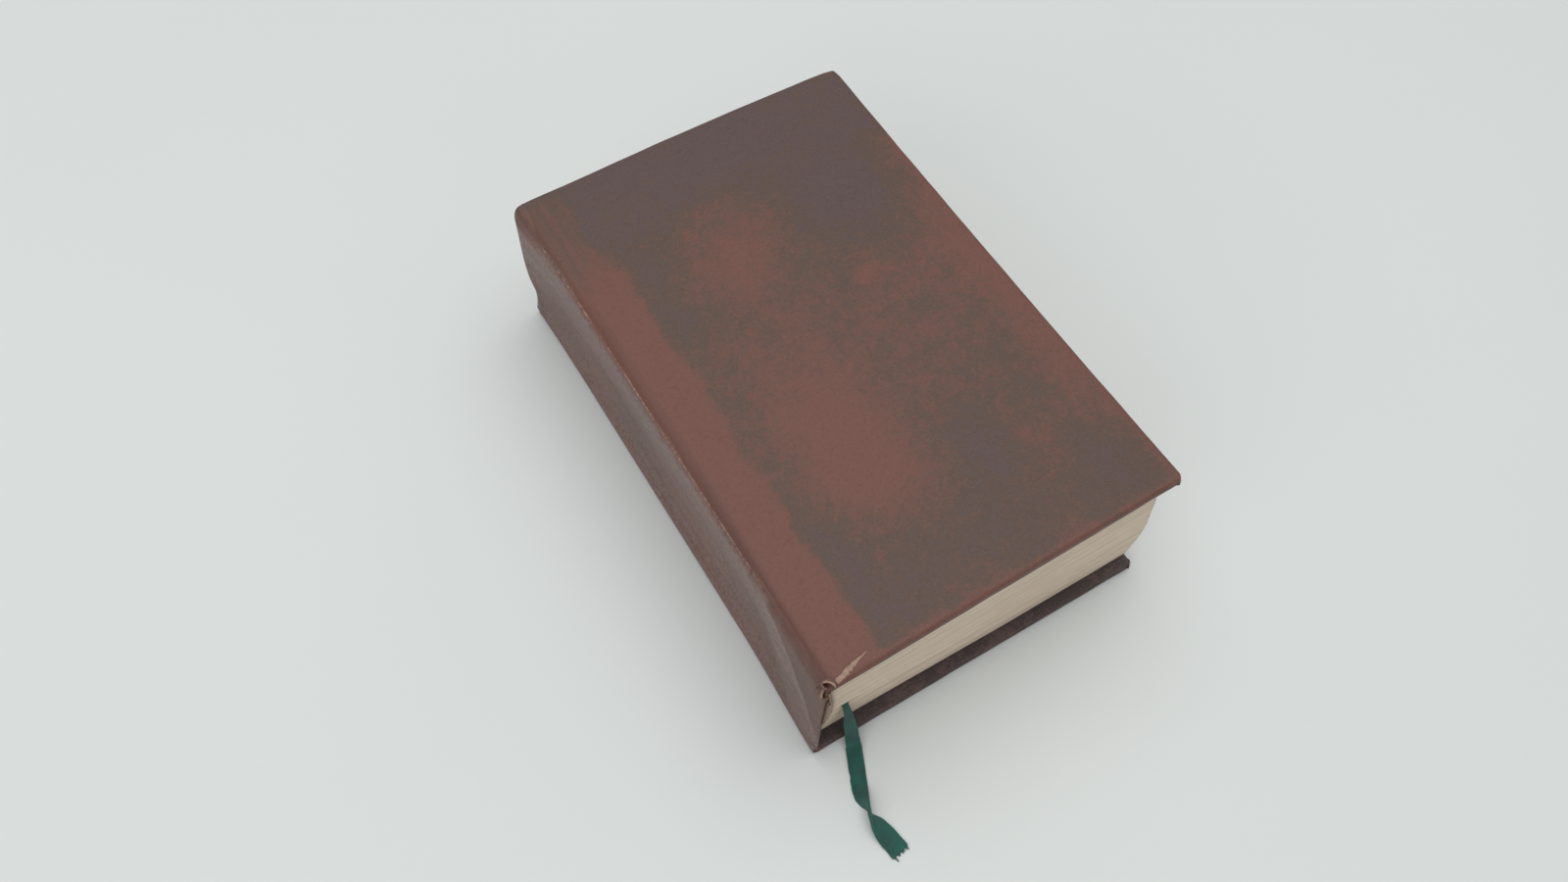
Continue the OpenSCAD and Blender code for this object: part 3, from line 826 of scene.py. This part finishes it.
joint_strip("front_joint_skin", 1, front_hinge_z, on_front,
            near_spine=(0.2, 0.4), near_cover=(1.1, 2.85), tail_out=(0.3, 0.3),
            head_out=(0.8, 0.2), head_square=1.6)
joint_strip("back_joint_skin", -1, back_hinge_z, on_back,
            near_spine=(1.1, -1.15), near_cover=(0.35, 3.35), tail_out=(1.2, 1.2),
            head_out=(0.2, 0.2))


# Torn leather at the tail end of the front joint. The skin has cracked through at the corner,
# and two small tongues of it have dried and curled up, hollow inside and pale along the tear.
# Below them the torn edge of the turned-in leather stands beside the leaves.
dried_t = 0.45


def torn_curl(name, place, leaning, facing, radius, curl_turns, length, body, pale_depth=0.8):
    """A tongue rolled round an axis that leans back from upright, facing a way seen from above"""
    bm = bmesh.new()
    bmesh.ops.create_grid(bm, x_segments=40, y_segments=14, size=0.5)
    for vert in bm.verts:
        a, b = vert.co.x + 0.5, vert.co.y
        angle = a * curl_turns * math.tau
        uneven = 1 + 0.3 * noise.noise(Vector((a * 5, b * 2, radius * 9)))
        r = radius * (1 - 0.5 * a) * uneven
        vert.co = (r * math.cos(angle), r * math.sin(angle) * 0.8, length * b * uneven)
    lean = (Matrix.Rotation(math.radians(facing), 4, "Z")
            @ Matrix.Rotation(math.radians(leaning), 4, "X"))
    bmesh.ops.transform(bm, matrix=Matrix.Translation(place) @ lean, verts=bm.verts)
    top = max(vert.co.z for vert in bm.verts)
    finish_leather(bm, name, body, thickness=dried_t,
                   tone=lambda co: -0.3 + 0.8 * smooth((top - 0.9 - co.z) / 1.2),
                   wear=lambda co: 0.6, bloom=lambda co: 0.3, even=lambda co: 1.0,
                   raw=lambda co: 0.7 * smooth(1.3 - (top - co.z) / pale_depth))


torn_curl("cover_corner_curl", (-58.6, -88.4, 54.0), leaning=40, facing=-50, radius=2.2,
          curl_turns=0.8, length=2.6, body="front_cover")
torn_curl("spine_corner_curl", (-60.3, -89.0, 50.6), leaning=40, facing=25, radius=2.3,
          curl_turns=0.75, length=3.2, body="block")
torn_curl("turned_in_edge", (-57.4, -88.4, 29), leaning=2, facing=10, radius=0.8,
          curl_turns=0.35, length=19, body="block", pale_depth=40)


# Papers, boards and linings. The endpapers are plain cream paper; the boards and the inlay are
# grey-brown board and card; the mull is glued open cotton. All keep their solid's own shape.
def plain_paper():
    material, tree, shader = new_material("endpaper", Roughness=0.8)
    place = own_place(tree)
    cloudy = noise_value(tree, place, 25.0, 6.0)
    fibre = noise_value(tree, place, 1500.0, 3.0)
    colour = mix_colours(tree, ramp_between(tree, cloudy, 0.3, 0.8),
                         (0.52, 0.44, 0.32), (0.475, 0.39, 0.27))
    tree.links.new(colour, shader.inputs["Base Color"])
    add_bump(tree, shader, fibre, 0.00005)
    return material


def pressed_board(name, light, dark):
    material, tree, shader = new_material(name, Roughness=0.9)
    fibre = noise_value(tree, own_place(tree), 700.0, 6.0, 0.7)
    tree.links.new(mix_colours(tree, fibre, dark, light), shader.inputs["Base Color"])
    add_bump(tree, shader, fibre, 0.0002)
    return material


def open_cloth():
    material, tree, shader = new_material("mull_cloth", Roughness=0.9)
    axes = add_node(tree, "ShaderNodeSeparateXYZ", {0: own_place(tree)}).outputs
    threads_per_metre = 900
    along, across = (
        math_node(tree, "SINE", math_node(tree, "MULTIPLY", axis, threads_per_metre * math.tau))
        for axis in axes[1:])
    height = math_node(tree, "MAXIMUM", along, across)
    colour = mix_colours(tree, ramp_between(tree, height, -0.6, 0.8),
                         (0.33, 0.27, 0.18), (0.62, 0.57, 0.46))
    tree.links.new(colour, shader.inputs["Base Color"])
    add_bump(tree, shader, height, 0.0001)
    return material


endpaper = plain_paper()
boards = pressed_board("binders_board", (0.42, 0.33, 0.22), (0.26, 0.2, 0.13))
lining = pressed_board("lining_paper", (0.62, 0.47, 0.36), (0.45, 0.33, 0.24))
mull = open_cloth()
own_shape = {
    endpaper: ("front_flyleaf", "back_flyleaf", "front_pastedown", "back_pastedown"),
    boards: ("front_board", "back_board", "spine_inlay"),
    lining: ("spine_lining",),
    mull: ("mull", "front_mull_flange", "back_mull_flange"),
    ribbon_cloth: ("ribbon_inside",),
}
for material, nodes in own_shape.items():
    for node in nodes:
        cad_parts[node].data.materials.clear()
        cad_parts[node].data.materials.append(material)


# Folds of the two endpapers. Each endpaper is one sheet, pasted to the board on one side and
# tipped to the block on the other, and this is the stretch of it that bends in the joint.
fold_x, fold_reach, layer_gap, sheet_t = hinge_x + 1.9, 3.6, 0.05, 0.05
hump_share = 0.4
for name, hinge_z, slope, cover_body in (("front_endpaper_fold", front_hinge_z, tilt, "front_cover"),
                                         ("back_endpaper_fold", back_hinge_z, 0.0, "back_cover")):
    up = 1 if cover_body == "front_cover" else -1
    bm = bmesh.new()
    bmesh.ops.create_grid(bm, x_segments=40, y_segments=40, size=0.5)
    for vert in bm.verts:
        # The middle of the sheet stands between the two layers, and opens out into a hump
        along = vert.co.x * 2
        past_fold = max(0.0, abs(along) - hump_share) / (1 - hump_share)
        x = fold_x + fold_reach * past_fold
        level = up * layer_gap * max(-1.0, min(1.0, along / hump_share))
        vert.co = (x, vert.co.y * (leaf_h - 0.4), hinge_z + (x - hinge_x) * math.tan(slope) + level)
    fold = make_piece(bm, name, endpaper)
    sheet = fold.modifiers.new("sheet", "SOLIDIFY")
    sheet.thickness = sheet_t * MM
    sheet.offset = 0
    middle = Vector((fold_x, 0, hinge_z + (fold_x - hinge_x) * math.tan(slope)))
    across = Vector((-math.sin(slope), 0, math.cos(slope))) * layer_gap * 0.9 * up
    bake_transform(fold)


# Table and light. The book lies on a pale grey, matt table top, under soft daylight that comes
# from a large window overhead and a smaller one on the spine's side.
def pale_table():
    material, tree, shader = new_material("pale_table", Roughness=0.7)
    cloudy = noise_value(tree, own_place(tree), 3.0, 3.0)
    tree.links.new(mix_colours(tree, cloudy, (0.62, 0.655, 0.645), (0.66, 0.69, 0.68)),
                   shader.inputs["Base Color"])
    return material


bm = bmesh.new()
bmesh.ops.create_grid(bm, x_segments=1, y_segments=1, size=3)
mesh = bpy.data.meshes.new("table")
bm.to_mesh(mesh)
bm.free()
table = bpy.data.objects.new("table", mesh)
mesh.materials.append(pale_table())
bpy.context.scene.collection.objects.link(table)

world = bpy.data.worlds.new("room")
world.use_nodes = True
world.node_tree.nodes["Background"].inputs["Color"].default_value = (1, 1, 1, 1)
world.node_tree.nodes["Background"].inputs["Strength"].default_value = 0.45
bpy.context.scene.world = world
for name, energy, size, place in (
        ("skylight", 22.5, (2.4, 2.0), (0.15, 0.25, 1.7)),
        ("side_window", 6.5, (1.4, 1.0), (-1.3, -0.5, 0.9))):
    lamp_data = bpy.data.lights.new(name, "AREA")
    lamp_data.shape = "RECTANGLE"
    lamp_data.size, lamp_data.size_y = size
    lamp_data.energy = energy
    lamp = bpy.data.objects.new(name, lamp_data)
    lamp.location = place
    lamp.rotation_euler = (-lamp.location).to_track_quat("-Z", "Y").to_euler()
    bpy.context.scene.collection.objects.link(lamp)

bpy.context.scene.view_settings.view_transform = "Standard"
